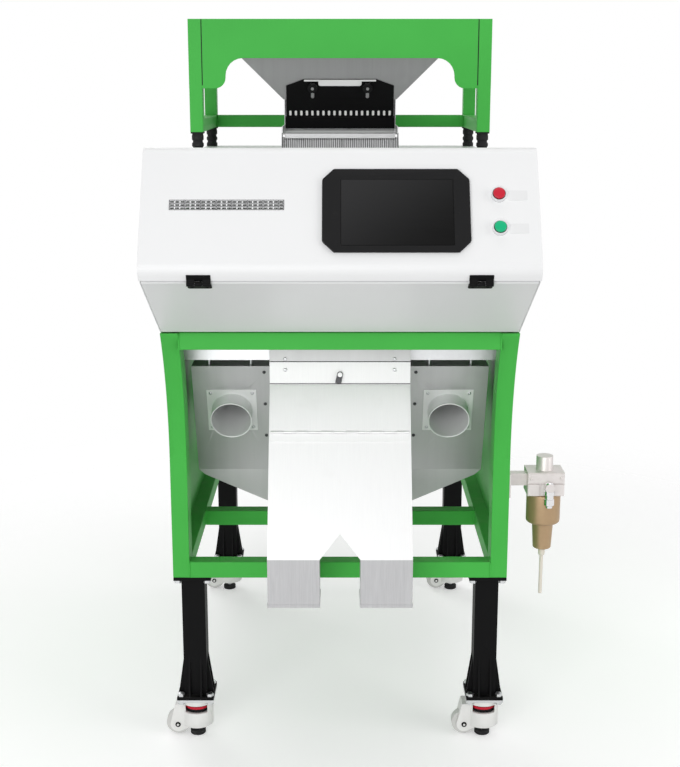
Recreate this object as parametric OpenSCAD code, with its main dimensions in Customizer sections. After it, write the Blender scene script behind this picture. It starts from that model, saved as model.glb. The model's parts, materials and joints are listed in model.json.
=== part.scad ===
// Optical colour sorter with one chute, on a raised frame with levelling casters.
// Millimetres, +Z up, operator side towards -Y, origin on the floor midway between the four feet.

/* [Frame] */
// Overall width of the frame and the cabinet
body_w = 800; // [760:1:860]
// Side of the square frame tube
tube = 40; // [36:1:44]
// Wall of the square frame tube
tube_wall = 2.5; // [2:0.5:4]
// Distance between the front and rear leg centres
wheelbase = 955; // [900:1:1000]
// Height of the underside of the base frame above the floor
base_z = 428; // [410:1:460]
// Height of the top of the lower frame above the floor
frame_top_z = 1044; // [1030:1:1060]
// Depth of the curved front post
post_d = 60; // [50:1:70]
// Radius of the hollow curve on the front of the post
post_curve_r = 560; // [540:1:600]
// Height above the base where the post starts to curve forward
post_straight = 296; // [280:1:310]
// Distance of the middle cross beam behind the front beam
mid_beam_back = 341; // [300:1:380]

/* [Legs] */
// Side of the leg flange and of the caster plate
flange = 90; // [86:1:96]
// Thickness of the leg flanges
flange_t = 8; // [6:1:10]
// Distance between bolt holes on a leg flange
bolt_pitch = 70; // [66:1:72]
// Bolt radius
bolt_r = 5; // [4:0.5:5]
// Side of the square leg column
column = 56; // [52:1:56]
// Height of the flare ribs at the foot of the leg
rib_h = 100; // [60:1:140]

/* [Casters] */
// Height of the caster from the floor to the top of its plate
caster_h = 108; // [106:1:112]
// Wheel radius
wheel_r = 30; // [28:0.5:31]
// Wheel width
wheel_w = 24; // [20:1:26]
// Distance of the wheel axle from the swivel axis
trail = 47; // [46:0.5:49]
// Clearance of the wheel above the floor while the machine stands on its feet
wheel_lift = 3; // [2:0.5:4]
// Radius of the rubber foot pad
pad_r = 19; // [16:0.5:20]
// Radius of the levelling dial
dial_r = 31; // [28:0.5:32]

/* [Cabinet] */
// Sheet thickness of the panels
sheet = 2; // [1.5:0.5:3]
// Height of the upper edge of the hood
hood_top_z = 1456; // [1440:1:1470]
// Height of the nose of the hood
nose_z = 1227; // [1215:1:1240]
// Reach of the nose in front of the front leg centres
nose_reach = 437; // [425:1:450]
// Setback of the upper hood edge behind the nose
hood_back = 139; // [125:1:155]
// Bend radius of the nose
nose_r = 30; // [24:1:34]
// Height of the roof behind the hood
roof_z = 1400; // [1390:1:1405]

/* [Controls] */
// Width of the screen bezel
screen_w = 296; // [284:1:304]
// Height of the screen bezel along the hood face
screen_h = 182; // [170:1:190]
// Offset of the screen centre from the middle of the machine
screen_x = 112; // [100:1:125]
// Radius of the push button caps
button_r = 12; // [11:0.5:12.5]
// Travel of the push buttons
button_travel = 3; // [2:0.5:4]
// Offset of the push buttons from the middle of the machine
button_x = 318; // [310:1:330]

/* [Hopper] */
// Side of the hopper frame posts
hop_post = 35; // [30:1:38]
// Height of the hopper frame
hop_h = 292; // [280:1:310]
// Depth of the hopper frame
hop_d = 430; // [415:1:432]
// Distance of the hopper frame front behind the middle of the machine
hop_front = 84; // [80:1:90]
// Height of the rubber mounts under the hopper frame
mount_h = 56; // [52:1:60]
// Width of the hopper outlet and of the feeder trough
feed_w = 310; // [300:1:320]
// Lift of the hopper gate
gate_lift = 30; // [20:1:35]

/* [Discharge] */
// Width of the discharge box
out_w = 330; // [320:1:340]
// Width of the gap between the two outlet spouts
spout_gap = 93; // [85:1:100]
// Diameter of the dust ducts
duct_d = 100; // [90:1:105]
// Distance of the duct centres from the middle of the machine
duct_x = 266; // [262:1:272]

/* [Hidden] */
$fn = 48;

// Small clearances shared by fits
run_gap = 0.05;
seat_gap = 0.3;
over = 1;

half_w = body_w / 2;
inner_x = half_w - tube;
leg_x = half_w - flange / 2;
leg_y = wheelbase / 2;
front_y = -leg_y - flange / 2;
rear_y = leg_y + flange / 2;
beam_y = front_y - 88;
arc_z = base_z + post_straight;
base_top_z = base_z + tube;
rail_z = frame_top_z - tube;
post_back_y = front_y - post_curve_r + sqrt(pow(post_curve_r + post_d, 2) - pow(rail_z - arc_z, 2));

// Profile helpers: unit vectors, corner fillets and bent sheet outlines
function unit(v) = v / norm(v);
function left_of(a, b) = let (d = unit(b - a)) [-d.y, d.x];
function fillet(a, b, c, r, n = 6) = let (
        u = unit(a - b),
        v = unit(c - b),
        half = acos(u * v) / 2,
        o = b + unit(u + v) * r / sin(half),
        p = b + u * r / tan(half),
        q = b + v * r / tan(half),
        s = atan2(p.y - o.y, p.x - o.x),
        t = atan2(q.y - o.y, q.x - o.x),
        turn = ((t - s + 540) % 360) - 180)
    r <= 0 ? [b] : [for (i = [0:n]) o + r * [cos(s + turn * i / n), sin(s + turn * i / n)]];
function offset_path(p, t) = let (e = len(p) - 1) [for (i = [0:e])
    i == 0 ? p[0] + t * left_of(p[0], p[1]) :
    i == e ? p[e] + t * left_of(p[e - 1], p[e]) :
    let (m = left_of(p[i - 1], p[i]), k = left_of(p[i], p[i + 1])) p[i] + t * (m + k) / (1 + m * k)];
function smooth_path(p, r) = let (e = len(p) - 1)
    concat([p[0]], [for (i = [1:e - 1]) each fillet(p[i - 1], p[i], p[i + 1], r[i])], [p[e]]);
function backwards(p) = [for (i = [len(p) - 1:-1:0]) p[i]];
function bent_sheet(p, r, t) = let (r_in = [for (v = r) max(v - abs(t), 0)])
    concat(smooth_path(p, r), backwards(smooth_path(offset_path(p, t), r_in)));

// Extrudes a (Y, Z) outline along X, from x0 to x1
module side_cut(x0, x1) {
    rotate([90, 0, 90])
        translate([0, 0, x0])
            linear_extrude(x1 - x0) children();
}

// Extrudes an (X, Z) outline along Y, from y0 to y1
module front_cut(y0, y1) {
    translate([0, y1, 0])
        rotate([90, 0, 0])
            linear_extrude(y1 - y0) children();
}

module box(lo, hi) {
    translate(lo) cube(hi - lo);
}

// Square tube along one axis, open at both ends
module square_tube(lo, hi, axis, wall) {
    w = [for (i = [0:2]) i == axis ? -over : wall];
    difference() {
        box(lo, hi);
        box(lo + w, hi - w);
    }
}

module both_sides() {
    children();
    mirror([1, 0, 0]) children();
}

module at_legs() {
    for (x = [-leg_x, leg_x], y = [-leg_y, leg_y])
        translate([x, y, 0]) children();
}

module bolt_corners(pitch) {
    for (x = [-pitch / 2, pitch / 2], y = [-pitch / 2, pitch / 2])
        translate([x, y, 0]) children();
}

// Lower frame
green = "limegreen";

module frame_beams() {
    mid_y = front_y + tube + mid_beam_back;
    color(green) {
        square_tube([-inner_x, beam_y, rail_z], [inner_x, beam_y + tube, frame_top_z], 0, tube_wall);
        for (y = [front_y, mid_y])
            square_tube([-inner_x, y, base_z], [inner_x, y + tube, base_top_z], 0, tube_wall);
        for (z = [base_z, rail_z])
            square_tube([-inner_x, rear_y - tube, z], [inner_x, rear_y, z + tube], 0, tube_wall);
    }
}

module frame_side_rails() {
    color(green)
        both_sides() {
            square_tube([inner_x, front_y + post_d, base_z],
                [half_w, rear_y - tube, base_top_z], 1, tube_wall);
            square_tube([inner_x, post_back_y, rail_z], [half_w, rear_y - tube, frame_top_z], 1, tube_wall);
        }
}

// Outline of the curved front post in (Y, Z), inset by a wall
module post_outline(w) {
    translate([front_y + w, base_z + w]) square([post_d - 2 * w, post_straight - w]);
    intersection() {
        translate([front_y - post_curve_r, arc_z])
            difference() {
                circle(r = post_curve_r + post_d - w, $fn = 180);
                circle(r = post_curve_r + w, $fn = 180);
            }
        translate([front_y - post_curve_r, arc_z])
            square([post_curve_r + post_d, frame_top_z - arc_z - w]);
    }
}

module front_post() {
    color(green) {
        difference() {
            side_cut(inner_x, half_w) post_outline(0);
            side_cut(inner_x + tube_wall, half_w - tube_wall) post_outline(tube_wall);
        }
    }
}

module front_post_right() {
    front_post();
}

module front_post_left() {
    mirror([1, 0, 0]) front_post();
}

module rear_posts() {
    color(green)
        both_sides()
            square_tube([inner_x, rear_y - tube, base_z], [half_w, rear_y, frame_top_z], 2, tube_wall);
}

// Sheets that close the sides of the lower frame, edged by the curved post
module frame_side_panels() {
    color(green)
        both_sides()
            side_cut(half_w - 2 * sheet, half_w - sheet)
                difference() {
                    translate([front_y - post_d, base_top_z])
                        square([rear_y - tube - front_y + post_d, rail_z - base_top_z]);
                    translate([front_y - over - post_d, base_z])
                        square([2 * post_d + over, post_straight + over]);
                    translate([front_y - post_curve_r, arc_z]) circle(r = post_curve_r + post_d, $fn = 180);
                }
}

// Legs and casters
leg_z0 = caster_h;
leg_z1 = base_z;
hole_r = bolt_r + 0.5;
head_r = 1.85 * bolt_r;
head_h = 1.4 * bolt_r;
plate_t = 6;
plate_z = caster_h - plate_t;

module leg() {
    rib_out = flange / 2 - 2;
    difference() {
        union() {
            for (z = [leg_z0, leg_z1 - flange_t])
                translate([-flange / 2, -flange / 2, z]) cube([flange, flange, flange_t]);
            square_tube([-column / 2, -column / 2, leg_z0 + flange_t],
                [column / 2, column / 2, leg_z1 - flange_t], 2, 3);
            for (a = [0:90:270], side = [-1, 1])
                rotate([0, 0, a])
                    translate([0, side * 14 - 2.5, leg_z0 + flange_t])
                        rotate([90, 0, 0])
                            mirror([0, 0, 1])
                                linear_extrude(5)
                                    polygon([[column / 2, 0], [rib_out, 0], [column / 2, rib_h]]);
        }
        bolt_corners(bolt_pitch)
            for (z = [leg_z0 - over, leg_z1 - flange_t - over])
                translate([0, 0, z]) cylinder(r = hole_r, h = flange_t + 2 * over);
    }
}

module legs() {
    color("black") at_legs() leg();
}

module leg_bolts() {
    color("silver")
        at_legs()
            bolt_corners(bolt_pitch) {
                translate([0, 0, leg_z1 - flange_t - head_h]) cylinder(r = head_r, h = head_h, $fn = 6);
                translate([0, 0, leg_z1 - flange_t - head_h]) cylinder(r = bolt_r, h = head_h + flange_t);
                translate([0, 0, plate_z - head_h]) cylinder(r = head_r, h = head_h, $fn = 6);
                translate([0, 0, leg_z0 + flange_t]) cylinder(r = head_r, h = head_h, $fn = 6);
                translate([0, 0, plate_z - head_h])
                    cylinder(r = bolt_r, h = caster_h - plate_z + flange_t + 2 * head_h);
            }
}

king_r = 8;
house_r = 39;
house_top = plate_z - 3;
wall_top = 7;
cavity_z0 = 64;
cavity_z1 = house_top - wall_top;
cavity_r = dial_r + 1.5;
stud_r = 6;
axle_r = 4;
axle_z = wheel_r + wheel_lift;
dial_z = cavity_z0 + 5;
dial_h = 13;
house_z0 = 30;
cheek_t = 10;
slot_w = wheel_w + 2.6;
window_x = 27;
arm_r = wheel_r * 0.62;
arm_top = plate_z - head_h - 8;
arm_hub = [-trail, axle_z];
arm_back = [-trail - 6, arm_top];
arm_root = [0, axle_z];

module caster_plates() {
    color("silver")
        at_legs()
            difference() {
                union() {
                    translate([-flange / 2, -flange / 2, plate_z]) cube([flange, flange, plate_t]);
                    translate([0, 0, house_top + seat_gap])
                        cylinder(r = 22, h = plate_z - house_top - seat_gap);
                    translate([0, 0, cavity_z1 - 3.3]) cylinder(r = king_r, h = plate_z - cavity_z1 + 3.3);
                    translate([0, 0, cavity_z1 - 3.3]) cylinder(r = king_r + 4, h = 3);
                }
                bolt_corners(bolt_pitch)
                    translate([0, 0, plate_z - over]) cylinder(r = hole_r, h = plate_t + 2 * over);
            }
}

// Point where the line from p touches the circle of radius r about c
function tangent(c, r, p, side) =
    let (d = p - c, a = atan2(d.y, d.x) + side * acos(r / norm(d))) c + r * [cos(a), sin(a)];

module fork_outline() {
    translate(arm_hub) circle(r = arm_r);
    polygon([arm_hub, tangent(arm_hub, arm_r, arm_back, 1), arm_back, [0, arm_top],
        arm_root, tangent(arm_hub, arm_r, arm_root, -1)]);
}

// Caster fork with the dial housing round the swivel axis and the wheel on the -X side
module caster_body() {
    color("white")
        difference() {
            union() {
                translate([0, 0, house_z0]) cylinder(r = house_r, h = house_top - house_z0);
                front_cut(-slot_w / 2 - cheek_t, slot_w / 2 + cheek_t)
                    fork_outline();
            }
            translate([-trail, 0, axle_z])
                rotate([90, 0, 0]) cylinder(r = wheel_r + 2, h = slot_w, center = true);
            translate([0, 0, cavity_z0]) cylinder(r = cavity_r, h = cavity_z1 - cavity_z0);
            translate([0, 0, cavity_z1 - over]) cylinder(r = king_r + run_gap, h = wall_top + 2 * over);
            translate([0, 0, over]) cylinder(r = stud_r + 0.1, h = cavity_z0);
            box([-window_x, -house_r - over, cavity_z0 + 4], [window_x, -house_r * 0.45, cavity_z1 - 4]);
        }
    color("silver")
        translate([-trail, 0, axle_z])
            rotate([90, 0, 0]) cylinder(r = axle_r, h = slot_w + 2 * cheek_t + 6, center = true);
}

module caster_wheel() {
    color("gainsboro")
        translate([-trail, 0, axle_z])
            rotate([90, 0, 0])
                difference() {
                    cylinder(r = wheel_r, h = wheel_w, center = true);
                    cylinder(r = axle_r + run_gap, h = wheel_w + 2 * over, center = true);
                }
}

// Rubber pad, threaded stud and dial in one screw-in piece
module caster_foot() {
    color("firebrick")
        translate([0, 0, dial_z])
            difference() {
                cylinder(r = dial_r, h = dial_h);
                for (a = [0:15:345])
                    rotate([0, 0, a])
                        translate([dial_r, 0, -over]) cylinder(r = 1.4, h = dial_h + 2 * over, $fn = 12);
            }
    color("dimgray") {
        translate([0, 0, 10]) cylinder(r = stud_r, h = dial_z - 10);
        cylinder(r = pad_r, h = 12);
    }
}

module place_caster(side_x, side_y) {
    translate([side_x * leg_x, side_y * leg_y, 0]) children();
}

// Cabinet outline points in (Y, Z)
nose = [-leg_y - nose_reach, nose_z];
brow = nose + [hood_back, hood_top_z - nose_z];
brow_back = brow + [35, 0];
brow_low = [brow_back.x, roof_z + seat_gap];
lip = nose + [12, -24];
door_gap = 3;
door_top = lip + [2, -door_gap];
door_low = [front_y - 106, frame_top_z + 4];
door_n = left_of(door_top, door_low);
hood_path = [brow_low, brow_back, brow, nose, lip];
hood_radii = [0, 12, 22, nose_r, 0];
face_up = unit(brow - nose);
face_tilt = atan2(face_up.x, face_up.y);
face_mid = (brow + nose) / 2;
hood_x = half_w;
side_x1 = half_w - sheet;
side_x0 = half_w - 2 * sheet;

module on_face(x, up) {
    p = face_mid + face_up * up;
    translate([x, p.x, p.y])
        rotate([-face_tilt, 0, 0])
            rotate([90, 0, 0]) children();
}

vent_x0 = -half_w + 64;
vent_rows = 3;
vent_cols = 22;
vent_pitch = 10.4;
vent_up = 0;
button_up = 28;
button_drop = 73;
bush_r = button_r - 1;
screen_up = -7;

module hood() {
    color("whitesmoke")
        difference() {
            side_cut(-hood_x, hood_x) polygon(bent_sheet(hood_path, hood_radii, sheet));
            on_face(screen_x, screen_up)
                translate([0, 0, -4 * sheet])
                    linear_extrude(8 * sheet) square([screen_w - 30, screen_h - 30], center = true);
            for (drop = [0, button_drop])
                on_face(button_x, button_up - drop)
                    translate([0, 0, -4 * sheet]) cylinder(r = bush_r, h = 8 * sheet);
            for (i = [0:vent_cols - 1], j = [0:vent_rows - 1])
                on_face(vent_x0 + i * vent_pitch, vent_up + j * 7)
                    translate([0, 0, -4 * sheet])
                        linear_extrude(8 * sheet) square([8, 3.6], center = true);
        }
}

module cabinet_sides() {
    in = sheet + seat_gap;
    under_hood = smooth_path(offset_path(hood_path, in), [for (r = hood_radii) max(r - in, 0)]);
    rest = [door_top + [1, 0], door_low + [1, 0], [door_low.x + 30, frame_top_z],
        [rear_y, frame_top_z], [rear_y, roof_z - in], [brow_back.x - in, roof_z - in]];
    color("whitesmoke")
        both_sides()
            side_cut(side_x0, side_x1) polygon(concat(under_hood, rest));
}

chute_open_y0 = 60;
chute_open_y1 = 250;
chute_x = feed_w / 2 + 10;

module roof_panel() {
    color("whitesmoke")
        difference() {
            box([-half_w, brow_back.x, roof_z - sheet], [half_w, rear_y, roof_z]);
            box([-chute_x - 10, chute_open_y0, roof_z - 2 * sheet],
                [chute_x + 10, chute_open_y1, roof_z + sheet]);
        }
}

fan_r = 55;
fan_z = (frame_top_z + roof_z) / 2 - 2;
fan_x = 180;

module rear_cover() {
    color("whitesmoke")
        difference() {
            box([-half_w, rear_y, frame_top_z], [half_w, rear_y + sheet, roof_z]);
            for (x = [-fan_x, fan_x], r = [12:14:fan_r])
                translate([x, rear_y - over, fan_z])
                    rotate([-90, 0, 0])
                        difference() {
                            cylinder(r = r + 3.5, h = sheet + 2 * over);
                            cylinder(r = r - 3.5, h = sheet + 2 * over);
                            for (a = [0, 90])
                                rotate([0, 0, a])
                                    translate([-fan_r - 9, -3, -over])
                                        cube([2 * fan_r + 18, 6, sheet + 4 * over]);
                        }
        }
}

// Lower front door, hung from the hood lip on two hinges
door_x = side_x0 - 1;
hinge_x = half_w - 120;
hinge_w = 48;
pin_r = 2.5;
knuckle_r = 4.5;
knuckle_gap = 0.4;
leaf_t = 2;
hinge_p = (lip + door_top) / 2 + 6 * unit([-0.72, -0.69]);

// Leaf of a door hinge in (Y, Z): root point p, direction along the sheet d, outward direction n, length l
function leaf_points(p, d, n, l) = let (h = [(hinge_p - p) * d, (hinge_p - p) * n])
    [for (q = [[3, 0], [l, 0], [l, leaf_t], [5, leaf_t], h + [2.2, 3], h, [-0.6, 1.6]])
        p + q[0] * d + q[1] * n];

module knuckle(x0, x1, r) {
    side_cut(x0, x1) translate(hinge_p) circle(r = r);
}

module lower_door() {
    path = [door_top + 14 * door_n, door_top, door_low, door_low + 14 * door_n];
    third = hinge_w / 6;
    color("gainsboro")
        side_cut(-door_x, door_x) polygon(bent_sheet(path, [0, 3, 3, 0], sheet));
    color("black")
        for (s = [-1, 1])
            translate([s * hinge_x, 0, 0])
                difference() {
                    union() {
                        side_cut(-third + knuckle_gap, third - knuckle_gap)
                            polygon(leaf_points(door_top, unit(door_low - door_top), -door_n, 22));
                        knuckle(-third + knuckle_gap, third - knuckle_gap, knuckle_r);
                        side_cut(-hinge_w / 2, hinge_w / 2)
                            polygon([for (q = [[8, 0], [22, 0], [22, leaf_t], [8, leaf_t]])
                                door_top + q[0] * unit(door_low - door_top) - q[1] * door_n]);
                    }
                    knuckle(-hinge_w, hinge_w, pin_r + run_gap);
                }
}

module hood_hinges() {
    up = unit(nose - lip);
    out = left_of(lip, nose);
    third = hinge_w / 6;
    color("black")
        for (s = [-1, 1], e = [-1, 1])
            translate([s * hinge_x + e * hinge_w / 3, 0, 0]) {
                side_cut(-third, third) polygon(leaf_points(lip, up, out, 11));
                knuckle(-third, third, knuckle_r);
            }
    color("silver")
        for (s = [-1, 1])
            translate([s * hinge_x, 0, 0]) knuckle(-hinge_w / 2, hinge_w / 2, pin_r);
}

// Screen and buttons on the hood face
module chamfered(w, h, c) {
    polygon([[-w / 2 + c, -h / 2], [w / 2 - c, -h / 2], [w / 2, -h / 2 + c], [w / 2, h / 2 - c],
        [w / 2 - c, h / 2], [-w / 2 + c, h / 2], [-w / 2, h / 2 - c], [-w / 2, -h / 2 + c]]);
}

bezel_h = 8;
bezel_cut = 24;
glass_w = screen_w - 72;
glass_h = screen_h - 38;
glass_shift = [2, -5];

module screen_bezel() {
    color("black")
        on_face(screen_x, screen_up)
            difference() {
                union() {
                    linear_extrude(bezel_h) chamfered(screen_w, screen_h, bezel_cut);
                    translate([0, 0, -30])
                        linear_extrude(30) square([screen_w - 31, screen_h - 31], center = true);
                }
                translate([0, 0, bezel_h - 3])
                    linear_extrude(bezel_h) translate(glass_shift) square([glass_w, glass_h], center = true);
            }
}

module screen_glass() {
    color("dimgray")
        on_face(screen_x, screen_up)
            translate([0, 0, bezel_h - 3])
                linear_extrude(2)
                    translate(glass_shift) square([glass_w - 0.4, glass_h - 0.4], center = true);
}

bezel_r = button_r + 3.5;
stem_r = 6;
ring_h = 9;
cap_z = ring_h - 0.3;

module button_bezels() {
    color("silver")
        for (drop = [0, button_drop])
            on_face(button_x, button_up - drop)
                difference() {
                    union() {
                        cylinder(r = bezel_r, h = ring_h);
                        translate([0, 0, -34]) cylinder(r = bush_r - 0.2, h = 35);
                        translate([0, 0, -60]) cylinder(r = bush_r + 4, h = 26);
                    }
                    translate([0, 0, -button_travel - 0.6])
                        cylinder(r = button_r + 0.1 - 2, h = 20);
                    translate([0, 0, cap_z - button_travel - 0.3]) cylinder(r = button_r + 0.1, h = 20);
                    translate([0, 0, -24]) cylinder(r = stem_r + run_gap, h = 40);
                }
}

module button_cap() {
    translate([0, 0, cap_z]) cylinder(r = button_r, h = 5);
    translate([0, 0, -14]) cylinder(r = stem_r, h = cap_z + 15);
}

module stop_button() {
    color("crimson") on_face(button_x, button_up) button_cap();
}

module start_button() {
    color("seagreen") on_face(button_x, button_up - button_drop) button_cap();
}

// Hopper frame on rubber mounts
hop_z0 = roof_z + mount_h;
hop_z1 = hop_z0 + hop_h;
hop_rear = hop_front + hop_d;
hop_in = half_w - hop_post;
panel_t = 3;
panel_h = 100;
bracket_h = 178;
arch_half = 303;
arch_r = 46;
arch_foot_r = 28;

module at_hopper_posts() {
    for (x = [-half_w + hop_post / 2, half_w - hop_post / 2], y = [hop_front, hop_rear - hop_post])
        translate([x, y + hop_post / 2, 0]) children();
}

module hopper_posts() {
    h = hop_post / 2;
    color(green)
        at_hopper_posts()
            square_tube([-h, -h, hop_z0], [h, h, hop_z1], 2, tube_wall);
}

module hopper_front_panel() {
    z_arch = hop_z1 - panel_h;
    z_low = hop_z1 - bracket_h;
    foot = [arch_half + arch_foot_r, z_low];
    toe = [arch_half, z_low];
    crown = [arch_half, z_arch];
    half = concat([foot - [0, over]], fillet(foot, toe, crown, arch_foot_r),
        fillet(toe, crown, [0, z_arch], arch_r));
    arch = concat(half, [for (i = [len(half) - 1:-1:0]) [-half[i].x, half[i].y]]);
    color(green)
        front_cut(hop_front - panel_t, hop_front)
            difference() {
                translate([-half_w, z_low]) square([body_w, bracket_h]);
                polygon(arch);
            }
}

module hopper_rails() {
    y0 = hop_front + hop_post;
    y1 = hop_rear - hop_post;
    color(green) {
        both_sides()
            for (z = [hop_z0, hop_z1 - hop_post])
                square_tube([hop_in, y0, z], [half_w, y1, z + hop_post], 1, tube_wall);
        for (z = [hop_z0, hop_z1 - hop_post])
            square_tube([-hop_in, y1, z], [hop_in, hop_rear, z + hop_post], 0, tube_wall);
        square_tube([-hop_in, hop_front, hop_z1 - hop_post], [hop_in, y0, hop_z1], 0, tube_wall);
    }
}

mount_r = 15;
mount_cap = 4;

module rubber_mounts() {
    color("black")
        at_hopper_posts() {
            translate([0, 0, roof_z]) cylinder(r = mount_r, h = mount_h - mount_cap);
            translate([-hop_post / 2, -hop_post / 2, hop_z0 - mount_cap])
                cube([hop_post, hop_post, mount_cap]);
        }
}

// Hopper funnel, a thin shell between the frame top and the outlet
hop_out_z = hop_z0 + 84;
hop_out_y0 = hop_front + 112;
hop_out_d = 120;
hop_t = 2;

function ring4(x, y0, y1, z) = [[-x, y0, z], [x, y0, z], [x, y1, z], [-x, y1, z]];
box_faces = [[0, 1, 2, 3], [7, 6, 5, 4], [4, 5, 1, 0], [5, 6, 2, 1], [6, 7, 3, 2], [7, 4, 0, 3]];

// Tapered block between the outlet and the frame top, inset by a wall and stretched past both ends
module funnel(wall, past) {
    y0 = hop_front + hop_post + wall;
    y1 = hop_rear - hop_post - wall;
    low = ring4(feed_w / 2 - wall, hop_out_y0 + wall, hop_out_y0 + hop_out_d - wall, hop_out_z - past);
    high = ring4(hop_in - wall, y0, y1, hop_z1 + past);
    polyhedron(concat(low, high), box_faces);
}

// Frame of the sloping front wall of the hopper: local Z up the wall, local -Y outwards
wall_run = hop_out_y0 - hop_front - hop_post;
wall_tilt = atan2(wall_run, hop_z1 - hop_out_z);

module on_hopper_wall() {
    translate([0, hop_out_y0, hop_out_z]) rotate([wall_tilt, 0, 0]) children();
}

skirt_x = feed_w / 2 - hop_t / 4;
skirt_in = 40;
skirt_y1 = hop_out_y0 + hop_out_d - hop_t / 4;
skirt_z = hop_out_z - 70;
knob_x = 75;
knob_z = 38;
knob_stud_r = 4;
gate_t = 3;
gate_drop = 80;
gate_bar = 32;
gate_cut = 48;
gate_top = 58;
gate_half = feed_w / 2 - 8;
gate_gap = 0.4;

module hopper() {
    color("silver") {
        difference() {
            funnel(0, 0);
            funnel(hop_t, over);
        }
        difference() {
            box([-skirt_x, hop_out_y0 + skirt_in, skirt_z], [skirt_x, skirt_y1, hop_out_z + hop_t]);
            box([hop_t - skirt_x, hop_out_y0, skirt_z - over], [skirt_x - hop_t, skirt_y1 - hop_t, hop_z1]);
        }
        on_hopper_wall()
            for (x = [-knob_x, knob_x])
                translate([x, hop_t, knob_z])
                    rotate([90, 0, 0]) cylinder(r = knob_stud_r, h = hop_t + 22);
    }
}

// Sliding gate with two slots and a curtain bar along its lower edge
module hopper_gate() {
    color("black")
        on_hopper_wall()
            difference() {
                union() {
                    front_cut(-gate_t - gate_gap, -gate_gap)
                        polygon([[-gate_half, -gate_drop], [gate_half, -gate_drop],
                            [gate_half, gate_top - 18], [gate_half - gate_cut, gate_top],
                            [gate_cut - gate_half, gate_top], [-gate_half, gate_top - 18]]);
                    box([-gate_half - 4, -gate_t - gate_gap - 8, -gate_drop],
                        [gate_half + 4, -gate_gap, -gate_drop + gate_bar]);
                }
                for (x = [-knob_x, knob_x]) {
                    box([x - knob_stud_r - 0.5, -20, knob_z - gate_lift],
                        [x + knob_stud_r + 0.5, over, knob_z]);
                    for (z = [knob_z - gate_lift, knob_z])
                        translate([x, over, z]) rotate([90, 0, 0]) cylinder(r = knob_stud_r + 0.5, h = 20);
                }
            }
}

module gate_knob() {
    color("black")
        on_hopper_wall()
            translate([knob_x, -gate_t - 2 * gate_gap, knob_z])
                rotate([90, 0, 0])
                    difference() {
                        union() {
                            cylinder(r = 9, h = 5);
                            translate([0, 0, 5]) cylinder(r = 13, h = 12);
                        }
                        translate([0, 0, -over]) cylinder(r = knob_stud_r + run_gap, h = 19 + over);
                        for (a = [0:45:315])
                            rotate([0, 0, a]) translate([15, 0, 4]) cylinder(r = 3.4, h = 14);
                    }
}

module gate_knob_right() {
    gate_knob();
}

module gate_knob_left() {
    mirror([1, 0, 0]) gate_knob();
}

// Vibrating feeder under the hopper outlet
tray_front = hop_out_y0 - 36;
tray_rear = hop_out_y0 + hop_out_d + 110;
tray_z = hop_z0 - 10;
tray_t = 3;
tray_wall = 22;
tray_half = feed_w / 2 + 4;
drive_half = 90;
spring_h = 24;

module feeder_tray() {
    color("silver") {
        box([-tray_half, tray_front, tray_z], [tray_half, tray_rear, tray_z + tray_t]);
        both_sides()
            box([tray_half - tray_t, tray_front, tray_z], [tray_half, tray_rear, tray_z + tray_wall]);
        box([-tray_half, tray_rear - tray_t, tray_z], [tray_half, tray_rear, tray_z + tray_wall]);
    }
}

module feeder_drive() {
    y0 = chute_open_y1 + 20;
    y1 = tray_rear - 10;
    color("dimgray") {
        box([-drive_half, y0, roof_z], [drive_half, y1, tray_z - spring_h]);
        for (y = [y0, y1 - 12])
            box([-drive_half + 10, y, tray_z - spring_h], [drive_half - 10, y + 12, tray_z - seat_gap]);
    }
}

// Grooved chute from the feeder to the viewing gap, carried on two cross bars
chute_top = [tray_front + 4, tray_z - 6];
chute_slope = 62.6;
chute_end_z = rail_z + 12;
chute_len = (chute_top.y - chute_end_z) / sin(chute_slope);
chute_bars = [0.365, 0.81];
chute_t = 3;
chute_wall = 26;
chute_ribs = 32;
bar = 30;
bar_ends = side_x0;

module chute() {
    half = feed_w / 2 + 4;
    pitch = 2 * (half - 6) / chute_ribs;
    color("silver") {
        translate([0, chute_top.x, chute_top.y])
            rotate([chute_slope, 0, 0]) {
                box([-half, -chute_len, -chute_t], [half, 0, 0]);
                both_sides()
                    box([half - chute_t, -chute_len, -chute_t], [half, 0, chute_wall]);
                for (i = [1:chute_ribs - 1])
                    box([-half + 6 + i * pitch - 1, -chute_len, -over], [-half + 6 + i * pitch + 1, 0, 4]);
                for (y = -chute_len * chute_bars)
                    square_tube([-bar_ends, y - bar, -chute_t - bar], [bar_ends, y, -chute_t], 0, sheet);
            }
    }
}

// Sorting chamber: cameras, lamps, air ejectors and the electrical box
lens_x = 110;
lens_r = 24;
lens_len = 46;

cam_h = 140;
cam_d = 140;
front_cam = [nose.x + 190, frame_top_z + 106];
rear_cam = [210, frame_top_z + 46];

// Hollow camera box with its lower front edge at p in (Y, Z) and its lenses on the +Y or -Y face
module camera_box(p, face) {
    lo = [-side_x0, p.x, p.y];
    hi = [side_x0, p.x + cam_d, p.y + cam_h];
    t = [sheet, sheet, sheet];
    difference() {
        box(lo, hi);
        box(lo + t, hi - t);
    }
    for (x = [-lens_x, lens_x])
        translate([x, p.x + (face + 1) / 2 * cam_d, p.y + cam_h / 2])
            rotate([face * -90, 0, 0]) cylinder(r = lens_r, h = lens_len);
}

module front_camera_box() {
    color("dimgray") camera_box(front_cam, 1);
}

module rear_camera_box() {
    color("dimgray") camera_box(rear_cam, -1);
}

lamp_r = 13;
lamps = [[-400, frame_top_z + 66], [-300, rail_z - 29], [60, rail_z - 24], [140, frame_top_z + 31]];

module lamp_bars() {
    color("ivory")
        for (p = lamps)
            side_cut(-side_x0, side_x0) translate(p) circle(r = lamp_r);
}

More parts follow.
